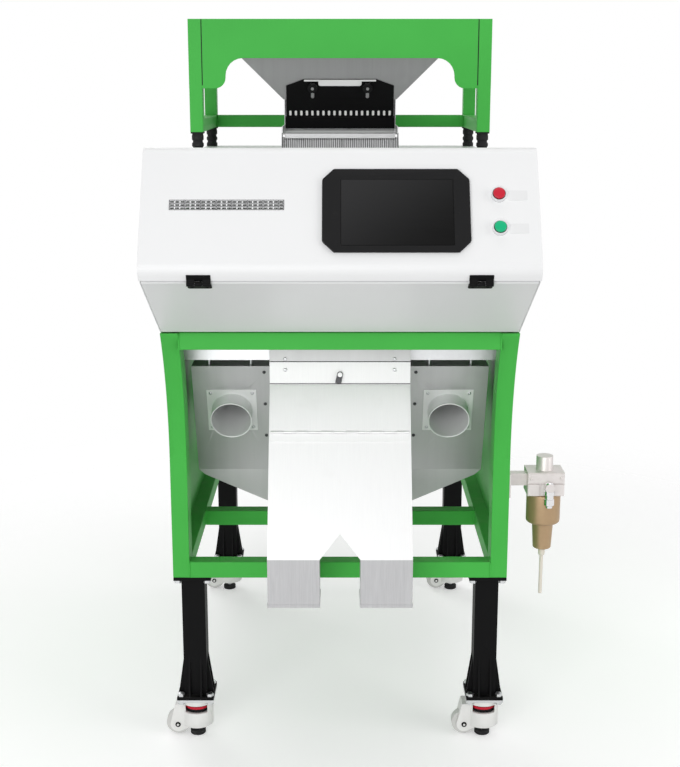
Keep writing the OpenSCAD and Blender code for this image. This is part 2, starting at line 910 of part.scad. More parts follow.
nozzles = 24;
ejector_z = rail_z - 124;
ejector_h = 70;
ejector_y = -40;
ejector_d = 100;

module ejector_block() {
    color("slategray") {
        box([-side_x0, ejector_y, ejector_z], [side_x0, ejector_y + ejector_d, ejector_z + ejector_h]);
        for (i = [0:nozzles - 1])
            translate([(i - (nozzles - 1) / 2) * feed_w / nozzles, ejector_y, ejector_z + 50])
                rotate([90, 0, 0]) cylinder(r = 3, h = 14);
    }
}

tank_y = rear_y - 222;
tank_z = base_z + 272;
tank_r = 50;
tank_inset = 80;
tank_x = half_w - tank_inset;
tank_end = 4;

module air_tank() {
    color("gray") {
        difference() {
            side_cut(-tank_x, tank_x) translate([tank_y, tank_z]) circle(r = tank_r);
            side_cut(-tank_x + tank_end, tank_x - tank_end)
                translate([tank_y, tank_z]) circle(r = tank_r - 3);
        }
        for (e = [-1, 1])
            translate([e * (tank_x + side_x0) / 2, 0, 0])
                side_cut(-(side_x0 - tank_x) / 2, (side_x0 - tank_x) / 2)
                    translate([tank_y, tank_z]) circle(r = 14);
    }
}

control_x = 250;
control_y = rear_y - 140;
control_z = frame_top_z + 16;
control_h = roof_z - control_z - 80;

module control_box() {
    t = [sheet, sheet, sheet];
    color("lightgray")
        difference() {
            box([-control_x, control_y, control_z], [control_x, rear_y, control_z + control_h]);
            box([-control_x, control_y, control_z] + t,
                [control_x, rear_y + over + sheet, control_z + control_h] - t);
        }
}

// Air filter on the right front post
filter_x = half_w + 94;
filter_y = front_y + 82;
filter_z = base_z + 190;
bowl_r = 41;
bowl_h = 74;
cup_r = 26;
cup_h = 66;
nipple_r = 8;
nipple_h = 20;
drain_r = 4.5;
drain_h = 102;
block_x = 44;
block_y = 34;
block_z = 58;
cup_z = filter_z - bowl_h - cup_h;

module air_filter_head() {
    color("silver") {
        box([half_w, front_y + 4, filter_z + 10], [half_w + 4, filter_y + 40, filter_z + 66]);
        box([half_w + 4, filter_y - 12, filter_z + 20],
            [filter_x - block_x + 2, filter_y + 12, filter_z + 50]);
        box([filter_x - block_x, filter_y - block_y, filter_z],
            [filter_x + block_x, filter_y + block_y, filter_z + block_z]);
        translate([filter_x, filter_y, filter_z + block_z]) cylinder(r = 20, h = 34);
        translate([filter_x + 6, filter_y - block_y, filter_z + 26])
            rotate([90, 0, 0]) cylinder(r = 11, h = 26);
    }
}

module air_filter_bowl() {
    color("peru") {
        translate([filter_x, filter_y, filter_z - bowl_h]) cylinder(r = bowl_r, h = bowl_h);
        translate([filter_x, filter_y, cup_z]) cylinder(r = cup_r, h = cup_h);
        translate([filter_x, filter_y, cup_z - nipple_h]) cylinder(r = nipple_r, h = nipple_h);
        translate([filter_x, filter_y, cup_z - nipple_h - drain_h]) cylinder(r = drain_r, h = drain_h);
    }
}

// Discharge box in front: a sloping cover over two outlet spouts
out_half = out_w / 2;
out_top = [front_y + 42, rail_z - seat_gap];
out_bend = [out_top.x, base_z + 466];
out_toe = [front_y - 160, base_z + 106];
out_foot = [out_toe.x, base_z - 9];
spout_d = 97;
out_back = [out_toe.x + spout_d, out_toe.y];
out_rear = [out_bend.x + 150, out_bend.y];
out_rear_top = [out_rear.x, out_top.y];
out_t = 2;
gap_half = spout_gap / 2;
notch_h = 52;
out_dir = unit(out_toe - out_bend);
out_tilt = atan2(-out_dir.x, -out_dir.y);
flap_len = 112;
flap_half = out_half - 4;
flap_t = 2.5;

// Local frame on the sloping cover: Z up the slope, -Y outwards, origin at the upper bend
module on_slope() {
    translate([0, out_bend.x, out_bend.y]) rotate([-out_tilt, 0, 0]) children();
}

module out_block(wall, past) {
    d = [0, past];
    pts = [out_top + [wall, 0] + d, out_bend + [wall, -0.3 * wall], out_toe + [wall, -0.3 * wall],
        out_foot + [wall, 0] - d, [out_back.x - wall, out_foot.y] - d, out_back + [-wall, 0.3 * wall],
        out_rear + [-wall, 0.3 * wall], out_rear_top + [-wall, 0] + d];
    side_cut(-out_half + wall, out_half - wall) polygon(pts);
}

module notch(side, z_low) {
    z = out_toe.y;
    front_cut(out_toe.x - over, out_rear.x)
        polygon([[-gap_half - side, z_low], [-gap_half - side, z], [0, z + notch_h + side],
            [gap_half + side, z], [gap_half + side, z_low]]);
}

module discharge_box() {
    color("whitesmoke") {
        difference() {
            out_block(0, 0);
            out_block(out_t, over);
            notch(0, out_foot.y - over);
            on_slope()
                box([-flap_half + 20, -10, -flap_len + 12], [flap_half - 20, 10, -12]);
        }
        difference() {
            intersection() {
                out_block(0, 0);
                notch(out_t, out_foot.y);
            }
            notch(0, out_foot.y - over);
        }
        translate([0, out_bend.x + out_t, out_bend.y + latch_up])
            rotate([90, 0, 0]) {
                cylinder(r = 6, h = latch_boss + out_t);
                cylinder(r = latch_pin_r, h = latch_boss + out_t + 7);
                translate([0, 0, latch_boss + out_t + 3.6]) cylinder(r = 5.5, h = 3);
            }
    }
}

latch_up = 26;
latch_boss = 3;
latch_pin_r = 3;
latch_len = 22;

module flap_latch() {
    color("gray")
        translate([0, out_bend.x - latch_boss - seat_gap, out_bend.y + latch_up])
            rotate([90, 12, 0])
                difference() {
                    union() {
                        cylinder(r = 7, h = 3);
                        translate([-7, -latch_len, 0]) cube([14, latch_len, 3]);
                    }
                    translate([0, 0, -over]) cylinder(r = latch_pin_r + run_gap, h = 3 + 2 * over);
                }
}

flap_pin_r = 1.5;
flap_knuckle_r = 3;
flap_pin_y = -flap_knuckle_r - seat_gap;
flap_pin_z = -flap_len - 4;
flap_sections = 11;

// Piano hinge barrel: sections of one parity along the pin
module piano_sections(parity) {
    step = 2 * flap_half / flap_sections;
    for (i = [0:flap_sections - 1])
        if (i % 2 == parity)
            translate([-flap_half + (i + 0.5) * step, flap_pin_y, flap_pin_z])
                rotate([0, 90, 0]) cylinder(r = flap_knuckle_r, h = step - 0.6, center = true);
}

module discharge_flap() {
    step = 2 * flap_half / flap_sections;
    color("whitesmoke")
        on_slope()
            difference() {
                union() {
                    box([-flap_half, -flap_t - seat_gap, -flap_len], [flap_half, -seat_gap, -3]);
                    piano_sections(1);
                    for (i = [1:2:flap_sections - 1])
                        translate([-flap_half + i * step + 0.3, -flap_t - seat_gap, flap_pin_z])
                            cube([step - 0.6, flap_t, 8]);
                }
                translate([-half_w, flap_pin_y, flap_pin_z])
                    rotate([0, 90, 0]) cylinder(r = flap_pin_r + run_gap, h = body_w);
            }
}

module flap_hinge() {
    step = 2 * flap_half / flap_sections;
    color("silver")
        on_slope() {
            difference() {
                union() {
                    piano_sections(0);
                    box([-flap_half, -1.5, flap_pin_z - 22],
                        [flap_half, 0, flap_pin_z - flap_knuckle_r - 0.5]);
                    for (i = [0:2:flap_sections - 1])
                        translate([-flap_half + i * step + 0.3, -1.5, flap_pin_z - 8])
                            cube([step - 0.6, 1.5, 8]);
                }
            }
            translate([-flap_half, flap_pin_y, flap_pin_z])
                rotate([0, 90, 0]) cylinder(r = flap_pin_r, h = 2 * flap_half);
        }
}

// Dust chambers each side of the discharge box, with duct collars
ch_top = [front_y + 137, base_z + 490];
ch_fold = [front_y + 252, base_z + 196];
ch_low = [front_y + 260, base_z + 100];
ch_back = front_y + 402;
ch_x1 = inner_x;
ch_tilt = atan2(ch_fold.x - ch_top.x, ch_top.y - ch_fold.y);
duct_at = ch_top + (ch_fold - ch_top) * 0.41;
duct_t = 1.5;
collar_len = 46;
collar_plate = 122;

module chamber_block(w) {
    intersection() {
        front_cut(ch_top.x - over, ch_back + over)
            polygon([[out_half + w, ch_top.y - w], [ch_x1 - w, ch_top.y - w], [ch_x1 - w, ch_fold.y + w],
                [ch_x1 - 15 - w, ch_fold.y - 14 + w], [out_half + w, ch_low.y + w]]);
        side_cut(out_half - over, ch_x1 + over)
            polygon([ch_top + [w * 1.07, 0], ch_fold + [w * 1.07, 0], ch_low + [w, 0],
                [ch_back - w, ch_low.y], [ch_back - w, ch_top.y]]);
    }
}

module on_chamber() {
    translate([duct_x, duct_at.x, duct_at.y]) rotate([90 + ch_tilt, 0, 0]) children();
}

module dust_chamber() {
    color("silver")
        both_sides()
            difference() {
                chamber_block(0);
                chamber_block(out_t);
                on_chamber()
                    translate([0, 0, -20]) cylinder(r = duct_d / 2 - duct_t, h = 40);
            }
}

module duct_collars() {
    color("silver")
        both_sides()
            on_chamber()
                difference() {
                    union() {
                        translate([-collar_plate / 2, -collar_plate / 2, 0])
                            cube([collar_plate, collar_plate, 2]);
                        cylinder(r = duct_d / 2, h = collar_len);
                    }
                    translate([0, 0, -over]) cylinder(r = duct_d / 2 - duct_t, h = collar_len + 2 * over);
                }
}

// Header angles that hang the dust chambers below the top rails
head_z = ch_top.y + 16;
stud_in = 51;
stud_out = 152;

module chamber_header() {
    color("silver")
        both_sides() {
            box([out_half + seat_gap, ch_top.x - 3, head_z], [side_x0, ch_top.x, rail_z]);
            box([out_half + seat_gap, ch_top.x, head_z], [side_x0, ch_top.x + 46, head_z + 2]);
            for (x = [stud_in, stud_out])
                translate([out_half + x, ch_top.x + 10, ch_top.y]) cylinder(r = 4, h = head_z - ch_top.y);
        }
}

// Small round screws on the collars, the discharge header and the rear cover
screw_r = 4;
screw_h = 2.5;

module cover_screws() {
    color("silver") {
        both_sides() {
            on_chamber()
                bolt_corners(collar_plate - 20) translate([0, 0, 2]) cylinder(r = screw_r, h = screw_h);
            for (up = [36, 62])
                translate([128, out_bend.x, out_bend.y + up])
                    rotate([90, 0, 0]) cylinder(r = screw_r, h = screw_h);
            for (z = [frame_top_z + 30, (frame_top_z + roof_z) / 2, roof_z - 30])
                translate([half_w - 20, rear_y + sheet, z])
                    rotate([-90, 0, 0]) cylinder(r = screw_r, h = screw_h);
        }
    }
}

frame_beams();
frame_side_rails();
front_post_left();
front_post_right();
rear_posts();
frame_side_panels();
legs();
leg_bolts();
caster_plates();
cabinet_sides();
hood();
roof_panel();
rear_cover();
lower_door();
hood_hinges();
screen_bezel();
screen_glass();
button_bezels();
stop_button();
start_button();
hopper_posts();
hopper_front_panel();
hopper_rails();
rubber_mounts();
hopper();
place_caster(-1, -1) caster_body();  // caster_body_fl
place_caster(1, -1) caster_body();  // caster_body_fr
place_caster(-1, 1) caster_body();  // caster_body_rl
place_caster(1, 1) caster_body();  // caster_body_rr
place_caster(-1, -1) caster_wheel();  // caster_wheel_fl
place_caster(1, -1) caster_wheel();  // caster_wheel_fr
place_caster(-1, 1) caster_wheel();  // caster_wheel_rl
place_caster(1, 1) caster_wheel();  // caster_wheel_rr
place_caster(-1, -1) caster_foot();  // caster_foot_fl
place_caster(1, -1) caster_foot();  // caster_foot_fr
place_caster(-1, 1) caster_foot();  // caster_foot_rl
place_caster(1, 1) caster_foot();  // caster_foot_rr
hopper_gate();
gate_knob_left();
gate_knob_right();
feeder_tray();
feeder_drive();
chute();
front_camera_box();
rear_camera_box();
lamp_bars();
ejector_block();
air_tank();
control_box();
air_filter_head();
air_filter_bowl();
discharge_box();
discharge_flap();
flap_hinge();
flap_latch();
dust_chamber();
duct_collars();
chamber_header();
cover_screws();
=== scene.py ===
"""Optical colour sorter: finishes, fittings, floor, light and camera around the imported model.

Shapes are written in millimetres, in the frame of the part's source: +Z up, operator side towards -Y,
origin on the floor midway between the four feet. They become metres when a piece is put in place.
"""

import json
import math

import bmesh
import bpy
from mathutils import Matrix, Vector


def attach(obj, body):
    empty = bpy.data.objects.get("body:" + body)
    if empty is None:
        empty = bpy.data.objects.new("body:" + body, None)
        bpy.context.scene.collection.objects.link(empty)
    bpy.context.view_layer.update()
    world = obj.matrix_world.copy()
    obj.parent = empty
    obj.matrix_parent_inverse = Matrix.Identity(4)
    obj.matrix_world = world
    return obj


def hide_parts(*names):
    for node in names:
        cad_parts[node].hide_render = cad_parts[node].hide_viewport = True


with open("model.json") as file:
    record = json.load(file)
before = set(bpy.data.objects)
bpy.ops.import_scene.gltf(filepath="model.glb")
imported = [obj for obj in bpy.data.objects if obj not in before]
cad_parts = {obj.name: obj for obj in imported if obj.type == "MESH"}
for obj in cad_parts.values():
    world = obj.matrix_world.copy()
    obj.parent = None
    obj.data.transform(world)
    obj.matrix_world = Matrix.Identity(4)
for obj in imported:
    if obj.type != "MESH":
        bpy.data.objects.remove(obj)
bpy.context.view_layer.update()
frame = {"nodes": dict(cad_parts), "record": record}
nodes = frame["nodes"]
slot_of = {part["node"]: part["material_slot"] for part in frame["record"]["subparts"]}

MM = 0.001


# Finishes

class Value:
    """A shader socket that takes part in Python expressions: each operator adds a Math node."""

    def __init__(self, finish, socket):
        self.finish = finish
        self.socket = socket

    def math(self, operation, *others):
        return self.finish.node("ShaderNodeMath", {"operation": operation}, dict(enumerate((self, *others))))

    def flipped(self, operation, other):
        return self.finish.node("ShaderNodeMath", {"operation": operation}, {0: other, 1: self})

    def __add__(self, other):
        return self.math("ADD", other)

    def __sub__(self, other):
        return self.math("SUBTRACT", other)

    def __rsub__(self, other):
        return self.flipped("SUBTRACT", other)

    def __mul__(self, other):
        return self.math("MULTIPLY", other)

    def __truediv__(self, other):
        return self.math("DIVIDE", other)

    def __rtruediv__(self, other):
        return self.flipped("DIVIDE", other)

    def __abs__(self):
        return self.math("ABSOLUTE")

    def __gt__(self, other):
        return self.math("GREATER_THAN", other)

    def __lt__(self, other):
        return self.math("LESS_THAN", other)

    __radd__ = __add__
    __rmul__ = __mul__

    def between(self, low, high):
        """0 below low, 1 above high, smooth in between."""
        settings = {"interpolation_type": "SMOOTHSTEP"}
        inputs = {"Value": self, "From Min": low, "From Max": high}
        return self.finish.node("ShaderNodeMapRange", settings, inputs)


class Tree:
    """A node tree under construction: node() adds any node, fill() sets or links a socket."""

    def __init__(self, tree):
        self.tree = tree

    def node(self, kind, settings=None, inputs=None, out=0):
        """Adds a node: its settings first, a ramp's stops among them, then the values or links of its sockets."""
        made = self.tree.nodes.new(kind)
        for key, value in (settings or {}).items():
            if key == "stops":
                ramp = made.color_ramp.elements
                while len(ramp) < len(value):
                    ramp.new(0.5)
                for element, (place, colour) in zip(ramp, value):
                    element.position, element.color = place, (*colour, 1)
            else:
                setattr(made, key, value)
        for key, value in (inputs or {}).items():
            self.fill(made.inputs[key], value)
        return Value(self, made.outputs[out])

    def fill(self, socket, value):
        """Links a Value to a socket, or sets the socket to a plain number or colour."""
        if isinstance(value, Value):
            self.tree.links.new(value.socket, socket)
        elif socket.type == "RGBA":
            socket.default_value = (*value, 1)
        else:
            socket.default_value = value


class Finish(Tree):
    """A material under construction: surface() fills the shader's own sockets."""

    def __init__(self, name):
        self.material = bpy.data.materials.new(name)
        self.material.use_nodes = True
        super().__init__(self.material.node_tree)
        self.shader = self.tree.nodes["Principled BSDF"]
        self.spot = self.node("ShaderNodeTexCoord", out="Object")
        self.facing = self.node("ShaderNodeTexCoord", out="Normal")

    def surface(self, **sockets):
        """Base_Color=..., Roughness=... on the shader, and bump=(height, depth in mm) through a Bump node."""
        height, depth = sockets.pop("bump", (None, 0))
        if height is not None:
            inputs = {"Height": height, "Distance": depth * MM, "Strength": 1.0}
            sockets["Normal"] = self.node("ShaderNodeBump", None, inputs)
        for key, value in sockets.items():
            self.fill(self.shader.inputs[key.replace("_", " ")], value)
        return self.material

    def along(self, vector):
        """The three components of a vector."""
        split = self.node("ShaderNodeSeparateXYZ", None, {0: vector}, out=0)
        outputs = split.socket.node.outputs
        return [Value(self, outputs[i]) for i in range(3)]

    def noise(self, grain, detail=3.0, rough=0.55, where=None, stretch=None):
        """Noise between 0 and 1 with a grain of that many millimetres."""
        spot = where or self.spot
        if stretch:
            spot = self.node("ShaderNodeVectorMath", {"operation": "MULTIPLY"}, {0: spot, 1: stretch})
        inputs = {"Vector": spot, "Scale": 1000 / grain, "Detail": detail, "Roughness": rough}
        return self.node("ShaderNodeTexNoise", None, inputs)

    def mix(self, amount, first, second):
        """A colour between two, or between links to two."""
        settings = {"data_type": "RGBA"}
        return self.node("ShaderNodeMix", settings, {0: amount, 6: first, 7: second}, out=2)


def shade(colour, by):
    """A colour made lighter or darker by a factor."""
    return tuple(min(1.0, c * by) for c in colour)


DUST = (0.55, 0.52, 0.46)


def painted(name, colour, gloss=0.35, shine=0.5, peel=0.02, drift=0.05, dust=0.10, scuff=0.25):
    """Powder coat on sheet steel: tone drift, orange peel, faint dust on what faces up, fine rubbed scuffs."""
    f = Finish(name)
    tone = f.noise(160, 2)
    fleck = f.noise(9, 6, 0.7)
    scrape = f.noise(60, 8, 0.75, stretch=(1, 1, 0.25)).between(0.62, 0.74)
    settled = f.along(f.facing)[2].between(0.55, 0.95) * f.noise(40, 5).between(0.35, 0.75)
    base = f.mix(tone, shade(colour, 1 - drift), shade(colour, 1 + drift))
    base = f.mix(scrape * scuff * 0.35, base, shade(colour, 1.25))
    base = f.mix(settled * dust, base, DUST)
    rough = gloss + (fleck - 0.5) * 0.14 + scrape * scuff * 0.3 + settled * dust
    peeled = f.noise(1.6, 1) + f.noise(45, 1) * 1.5
    return f.surface(Base_Color=base, Roughness=rough, Specular_IOR_Level=shine, bump=(peeled, peel))


def brushed(name, colour, rough=0.34, metal=1.0, streak=0.10, grain=1.1, bump=0.02):
    """Brushed sheet: streaks that run up each face, cloudy handling marks over them."""
    f = Finish(name)
    x, y, z = f.along(f.spot)
    sideways = abs(f.along(f.facing)[0]) > 0.7
    across = x + (y - x) * sideways
    lane = f.node("ShaderNodeCombineXYZ", None, {0: across, 1: (z + y) * 0.012, 2: z * 0.012})
    lines = f.noise(grain, 3, 0.7, where=lane)
    broad = f.noise(grain * 14, 2, 0.5, where=lane)
    cloud = f.noise(70, 4, 0.6)
    tone = lines * 0.5 + broad * 0.5
    base = f.mix(tone, shade(colour, 1 - streak), shade(colour, 1 + streak))
    base = f.mix(cloud.between(0.55, 0.8) * 0.18, base, shade(colour, 0.78))
    ragged = rough + (lines - 0.5) * 0.22 + (cloud - 0.5) * 0.16
    return f.surface(Base_Color=base, Metallic=metal, Roughness=ragged, bump=(lines, bump))


def moulded(name, colour, rough=0.42, texture=0.03, coat=0.0, grain=0.9, wear=0.12, shine=0.5):
    """Moulded plastic or rubber: spark-eroded skin, faint flow marks, rubbed and dusty patches."""
    f = Finish(name)
    skin = f.noise(grain, 2)
    flow = f.noise(35, 3, 0.5, stretch=(1, 1, 0.4))
    rub = f.noise(14, 6, 0.7).between(0.56, 0.74)
    base = f.mix(flow, shade(colour, 0.92), shade(colour, 1.06))
    base = f.mix(rub * wear, base, tuple(0.7 * c + 0.3 * d for c, d in zip(colour, DUST)))
    ragged = rough + (skin - 0.5) * 0.1 + rub * 0.12
    sockets = {"Coat_Weight": coat, "Coat_Roughness": 0.08, "Specular_IOR_Level": shine}
    return f.surface(Base_Color=base, Roughness=ragged, bump=(skin, texture), **sockets)


def plated(name, colour, rough=0.3, mottle=0.12, metal=1.0):
    """Zinc or nickel plate on small steel parts: passivation mottle and fine tool marks."""
    f = Finish(name)
    patch = f.noise(11, 5, 0.65)
    tool = f.noise(0.8, 2, 0.6)
    tint = f.mix(patch, shade(colour, 1 - mottle), shade(colour, 1 + mottle * 0.6))
    ragged = rough + (patch - 0.5) * 0.25 + (tool - 0.5) * 0.1
    return f.surface(Base_Color=tint, Metallic=metal, Roughness=ragged, bump=(tool, 0.012))


def outlet_sheet(name, bend_z):
    """Satin stainless of the outlet: pale on the sloping cover, with painted shade making it greyer below the bend
    of the spouts.
    """
    f = Finish(name)
    x, y, z = f.along(f.spot)
    lane = f.node("ShaderNodeCombineXYZ", None, {0: x, 1: z * 0.02, 2: y * 0.02})
    lines = f.noise(1.3, 3, 0.7, where=lane)
    cloud = f.noise(90, 4, 0.6)
    cover = f.mix(lines, (0.84, 0.84, 0.845), (0.93, 0.93, 0.93))
    # painted shade: below the bend the same sheet takes a darker grey, a shaded copy of the cover's tone
    spout = f.mix(lines, (0.40, 0.40, 0.41), (0.62, 0.62, 0.63))
    base = f.mix(z < bend_z * MM, cover, spout)
    base = f.mix(cloud.between(0.6, 0.8) * 0.12, base, (0.66, 0.65, 0.63))
    ragged = 0.42 + (lines - 0.5) * 0.16 + (cloud - 0.5) * 0.2
    return f.surface(Base_Color=base, Metallic=0.25, Roughness=ragged, bump=(lines, 0.015))


def grooved(name, pitch):
    """Chute sheet: brushed lands between grooves darkened with painted shade."""
    f = Finish(name)
    x, y, z = f.along(f.spot)
    across = (x / (pitch * MM)).math("FRACT")
    # painted shade: the grooves go nearly black, as the shade in their hollows; patchy noise varies its depth
    groove = across.between(0.34, 0.44) - across.between(0.8, 0.9)
    wear_and_shade_noise = f.noise(25, 4, 0.6)
    base = f.mix(groove * (0.75 + wear_and_shade_noise * 0.25), (0.62, 0.62, 0.63), (0.06, 0.06, 0.06))
    ragged = 0.36 + wear_and_shade_noise * 0.14 + groove * 0.2
    return f.surface(Base_Color=base, Metallic=0.6, Roughness=ragged, bump=(wear_and_shade_noise, 0.02))


SCREEN_LEFT, SCREEN_TOP = 0, 1405


def screen_face(name):
    """Dark cover glass: a dim painted sheen, a reflection painted into the colour, that fades from one upper
    corner, with wiped smears in the gloss.
    """
    f = Finish(name)
    x, y, z = f.along(f.spot)
    # painted reflection: the colour is lighter near the upper left corner and darkens away from it
    fade = ((x - SCREEN_LEFT * MM) * 2.2 + (SCREEN_TOP * MM - z) * 3.4).between(0.0, 0.95)
    smear = f.noise(30, 6, 0.7, stretch=(0.5, 1, 1.6))
    base = f.mix(fade * (0.92 + smear * 0.16), (0.026, 0.026, 0.027), (0.001, 0.001, 0.001))
    ragged = 0.08 + smear.between(0.5, 0.8) * 0.1
    return f.surface(Base_Color=base, Roughness=ragged, Specular_IOR_Level=0.14)


BLACK = (0.003, 0.003, 0.0033)
CAP_GLOSS = {"rough": 0.3, "texture": 0.01, "coat": 0.1, "wear": 0.03, "shine": 0.3}
SPOUT_BEND_Z = 534
CHUTE_PITCH = 5.14
FINISHES = {
    "green_paint": painted("green_powder_coat", (0.067, 0.465, 0.073), gloss=0.5, shine=0.14, drift=0.07),
    "black_paint": painted("black_leg_paint", BLACK, gloss=0.5, shine=0.09, dust=0.04, scuff=0.4),
    "zinc": plated("zinc_plate", (0.62, 0.63, 0.64), 0.34),
    "white_nylon": moulded("white_caster_nylon", (0.82, 0.82, 0.80), 0.38),
    "wheel_nylon": moulded("wheel_nylon", (0.66, 0.66, 0.64), 0.46, wear=0.45),
    "foot_rubber": moulded("black_rubber", (0.012, 0.012, 0.013), 0.7, texture=0.08, wear=0.2, shine=0.25),
    "white_paint": painted("white_cabinet_coat", (0.86, 0.865, 0.87), gloss=0.34, shine=0.4, drift=0.012,
                           scuff=0.1),
    "door_paint": painted("grey_door_coat", (0.80, 0.805, 0.81), gloss=0.36, shine=0.4, drift=0.02,
                          scuff=0.15),
    "black_plastic": moulded("black_bezel_plastic", (0.005, 0.005, 0.0055), 0.45, wear=0.04, shine=0.15),
    "screen_glass": screen_face("screen_cover_glass"),
    "chrome": plated("button_ring_chrome", (0.78, 0.78, 0.79), 0.14, mottle=0.04),
    "red_plastic": moulded("red_cap_plastic", (0.58, 0.008, 0.03), **CAP_GLOSS),
    "green_plastic": moulded("green_cap_plastic", (0.0, 0.46, 0.2), **CAP_GLOSS),
    "steel": brushed("brushed_stainless", (0.52, 0.52, 0.525), rough=0.4, metal=0.7),
    "black_steel": painted("black_gate_paint", BLACK, gloss=0.5, shine=0.09, dust=0.04, scuff=0.4),
    "grey_paint": painted("grey_unit_paint", (0.2, 0.21, 0.225), gloss=0.45, dust=0.2),
    "lamp": moulded("lamp_tube", (0.86, 0.86, 0.82), 0.2, texture=0.004, coat=0.4, wear=0.03),
    "aluminium": plated("machined_aluminium", (0.70, 0.66, 0.645), 0.46, metal=0.55),
    "bronze": plated("anodised_bowl", (0.44, 0.30, 0.17), 0.4, metal=0.45),
    "outlet_steel": outlet_sheet("outlet_sheet", SPOUT_BEND_Z),
}
DUCT_SHEET = brushed("galvanised_duct", (0.84, 0.84, 0.845), rough=0.42, metal=0.2, streak=0.06)
HOPPER_SHEET = brushed("hopper_sheet", (0.36, 0.36, 0.365), rough=0.4, metal=0.8, streak=0.14)
CHUTE_SHEET = grooved("grooved_chute", CHUTE_PITCH)
# painted reflection: the steel tab gets pale non-metal paint for the white room that it reflects
GATE_TAB_REFLECTION = painted("gate_tab_painted_reflection", (0.84, 0.84, 0.84), gloss=0.4, drift=0.02)
CREAM_TUBE = moulded("cream_drain_tube", (0.78, 0.73, 0.64), 0.4)
LATCH_STEEL = plated("darkened_latch_steel", (0.09, 0.09, 0.095), 0.45)
HEADER_SHEET = brushed("outlet_header_sheet", (0.66, 0.66, 0.665), rough=0.45, metal=0.3, streak=0.08)
BEZEL_PLASTIC = moulded("screen_bezel_plastic", (0.009, 0.009, 0.0095), 0.5, wear=0.03, shine=0.12)
OWN_FINISH = {"duct_collars": DUCT_SHEET, "hopper": HOPPER_SHEET, "flap_latch": LATCH_STEEL,
              "chute": CHUTE_SHEET, "screen_bezel": BEZEL_PLASTIC, "flap_hinge": FINISHES["outlet_steel"]}


# Pieces

def put(name, bm, body, slot, replaced=(), bevel=0.0, angle=40, finish=None):
    """Makes a piece from millimetre geometry, rounds its edges, and lets it ride on a body."""
    bmesh.ops.remove_doubles(bm, verts=bm.verts, dist=1e-4)
    bmesh.ops.scale(bm, vec=(MM, MM, MM), verts=bm.verts)
    bmesh.ops.recalc_face_normals(bm, faces=bm.faces)
    mesh = bpy.data.meshes.new(name)
    bm.to_mesh(mesh)
    bm.free()
    mesh.shade_smooth()
    mesh.set_sharp_from_angle(angle=math.radians(angle))
    piece = bpy.data.objects.new(name, mesh)
    bpy.context.scene.collection.objects.link(piece)
    mesh.materials.append(finish or FINISHES[slot])
    if bevel:
        round_edges(piece, bevel)
    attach(piece, body)
    if replaced:
        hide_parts(*replaced)
    return piece


def round_edges(piece, width, steps=2):
    """Bevels the sharp edges of a piece by a width in millimetres."""
    edge = piece.modifiers.new("rounded_edges", "BEVEL")
    edge.width, edge.segments = width * MM, steps
    edge.limit_method, edge.angle_limit = "ANGLE", math.radians(35)
    edge.harden_normals = True


def lathe(bm, profile, place=Matrix(), steps=48):
    """Turns (radius, height) points about local Z."""
    rings = []
    for radius, height in profile:
        if radius < 1e-6:
            rings.append([bm.verts.new(place @ Vector((0, 0, height)))])
            continue
        turns = [2 * math.pi * i / steps for i in range(steps)]
        points = [Vector((radius * math.cos(t), radius * math.sin(t), height)) for t in turns]
        rings.append([bm.verts.new(place @ point) for point in points])
    for low, high in zip(rings, rings[1:]):
        for i in range(steps):
            j = (i + 1) % steps
            corners = [low[i % len(low)], low[j % len(low)], high[j % len(high)], high[i % len(high)]]
            corners = [v for k, v in enumerate(corners) if v not in corners[:k]]
            if len(corners) > 2:
                bm.faces.new(corners)


def slab(bm, outline, low, high, place=Matrix()):
    """Extrudes an (x, y) outline along local Z from low to high."""
    ends = [[bm.verts.new(place @ Vector((x, y, z))) for x, y in outline] for z in (low, high)]
    bm.faces.new(ends[0])
    bm.faces.new(ends[1])
    count = len(outline)
    for i in range(count):
        j = (i + 1) % count
        bm.faces.new([ends[0][i], ends[0][j], ends[1][j], ends[1][i]])


def rounded(width, height, radius, steps=5):
    """Outline of a rectangle with round corners, about its middle."""
    points = []
    for quarter, (sx, sy) in enumerate([(1, 1), (-1, 1), (-1, -1), (1, -1)]):
        for i in range(steps + 1):
            t = math.pi / 2 * (quarter + i / steps)
            points.append((sx * (width / 2 - radius) + radius * math.cos(t),
                           sy * (height / 2 - radius) + radius * math.sin(t)))
    return points


def block(left, right, low, high):
    """Outline of a plain rectangle."""
    return [(left, low), (right, low), (right, high), (left, high)]


def turn(degrees, axis):
    return Matrix.Rotation(math.radians(degrees), 4, axis)


def shift(x, y, z):
    return Matrix.Translation((x, y, z))


SIDES = ((-1, "left"), (1, "right"))
PAN_HEAD = [(0, -0.3), (4.2, -0.3), (4.2, 0.9), (3.8, 1.7), (2.8, 2.3), (1.7, 2.5), (1.4, 1.3), (0, 1.3)]


# Places that the source gives: the hood face, the hopper, the duct plates, the legs, the rear cover

NOSE = Vector((-914.5, 1227))
BROW = Vector((-775.5, 1456))
FACE_UP = (BROW - NOSE).normalized()
FACE_TILT = math.degrees(math.atan2(FACE_UP.x, FACE_UP.y))
WALL_FOOT, WALL_TILT = (0, 196, 1540), 20.3142
DUCT_TILT = 21.3633
DUCT_X, DUCT_Y, DUCT_Z = 266, -338.35, 797.46
LEGS = {"fl": (-355, -477.5), "fr": (355, -477.5), "rl": (-355, 477.5), "rr": (355, 477.5)}
REAR_Y = 524.5


def on_face(x, up):
    """Local X across the hood face, Y up it, Z out of it."""
    spot = (NOSE + BROW) / 2 + FACE_UP * up
    return shift(x, spot.x, spot.y) @ turn(90 - FACE_TILT, "X")


def on_hopper_wall(x, up):
    """Local X across the hopper's front wall, Y up it, Z out of it."""
    return shift(*WALL_FOOT) @ turn(WALL_TILT, "X") @ shift(x, 0, up) @ turn(90, "X")


